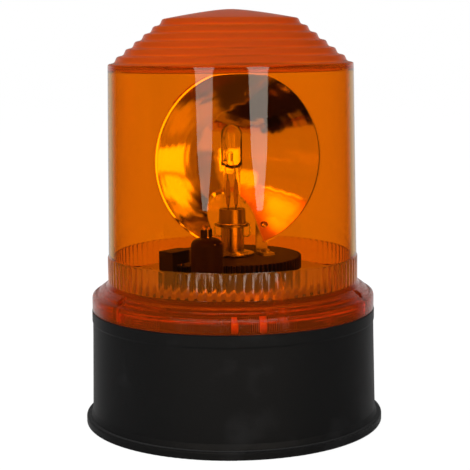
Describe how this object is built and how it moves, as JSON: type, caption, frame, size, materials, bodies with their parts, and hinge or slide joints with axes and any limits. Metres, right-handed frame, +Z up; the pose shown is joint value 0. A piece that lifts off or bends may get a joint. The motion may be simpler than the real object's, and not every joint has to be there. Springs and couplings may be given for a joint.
{
  "type": "rotating beacon",
  "caption": "Amber rotating warning beacon: a parabolic reflector is geared round a fixed halogen bulb under a stepped lens, on a rubber-booted base bolted down from below.",
  "frame": {"origin": "centre of the foot's underside, on the rotation axis", "axes": "+Z up along the rotation axis, -Y towards the front, from which the picture was taken"},
  "size_m": [0.1588, 0.1588, 0.218],
  "materials": {
    "boot_rubber": "matte moulded rubber",
    "black_moulding": "matte black moulding",
    "grey_moulding": "matte grey moulding",
    "amber_lens": "clear amber, moulded, polished",
    "screw_steel": "bright zinc plated",
    "zinc_plate": "zinc plated sheet",
    "bright_tube": "nickel plated",
    "gear_plastic": "black moulded gear plastic",
    "bronze": "turned",
    "mirror_metal": "polished, metallised",
    "shaft_steel": "ground",
    "quartz": "clear",
    "tungsten": "drawn wire",
    "white_insulator": "matte white",
    "lead_sheath": "soft black sheath"
  },
  "bodies": {
    "base": {"rubber_boot": "boot_rubber", "base_housing": "black_moulding", "lens": "amber_lens", "lens_screws": "screw_steel", "chassis_plate": "zinc_plate", "chassis_pillars": "zinc_plate", "chassis_screws": "screw_steel", "pillar_screws": "screw_steel", "bulb_stem": "bright_tube", "stem_nut": "zinc_plate", "thrust_washers": "bright_tube", "retaining_clip": "screw_steel", "idler_bush": "bronze", "idler_bridge": "black_moulding", "bridge_screws": "screw_steel", "motor_can": "zinc_plate", "motor_end_cap": "black_moulding", "motor_screws": "screw_steel", "motor_sleeve": "boot_rubber", "motor_terminals": "bronze", "suppressor": "black_moulding", "bulb_cap": "bright_tube", "bulb_glass": "quartz", "bulb_filament": "tungsten", "bulb_spring": "screw_steel", "bulb_insulator": "white_insulator", "bulb_contact": "bronze", "terminal_block": "grey_moulding", "terminal_screws": "bronze", "block_screws": "screw_steel", "cable_grommet": "boot_rubber", "lamp_lead": "lead_sheath", "motor_leads": "lead_sheath", "earth_tag": "bronze", "earth_lead": "lead_sheath"},
    "rotor": {"turntable_gear": "gear_plastic", "hub_bush": "bronze", "reflector": "mirror_metal", "reflector_brackets": "zinc_plate", "reflector_rivets": "bright_tube", "bracket_screws": "screw_steel"},
    "idler": {"idler_shaft": "shaft_steel", "idler_wheel": "gear_plastic", "idler_pinion": "gear_plastic"},
    "motor_rotor": {"motor_shaft": "shaft_steel", "motor_pinion": "bronze"}
  },
  "joints": [
    {"name": "rotor_spin", "type": "hinge", "parent": "base", "child": "rotor", "pos_m": [0, 0, 0.0853], "axis": [0, 0, 1], "continuous": true},
    {"name": "idler_spin", "type": "hinge", "parent": "base", "child": "idler", "pos_m": [-0.02618, -0.03233, 0.0853], "axis": [0, 0, 1], "continuous": true},
    {"name": "motor_spin", "type": "hinge", "parent": "base", "child": "motor_rotor", "pos_m": [-0.01267, -0.04422, 0.0715], "axis": [0, 0, 1], "continuous": true}
  ],
  "couplings": [
    {"joint": "idler_spin", "follows": "rotor_spin", "ratio": -6.4286},
    {"joint": "motor_spin", "follows": "rotor_spin", "ratio": 25.714}
  ]
}
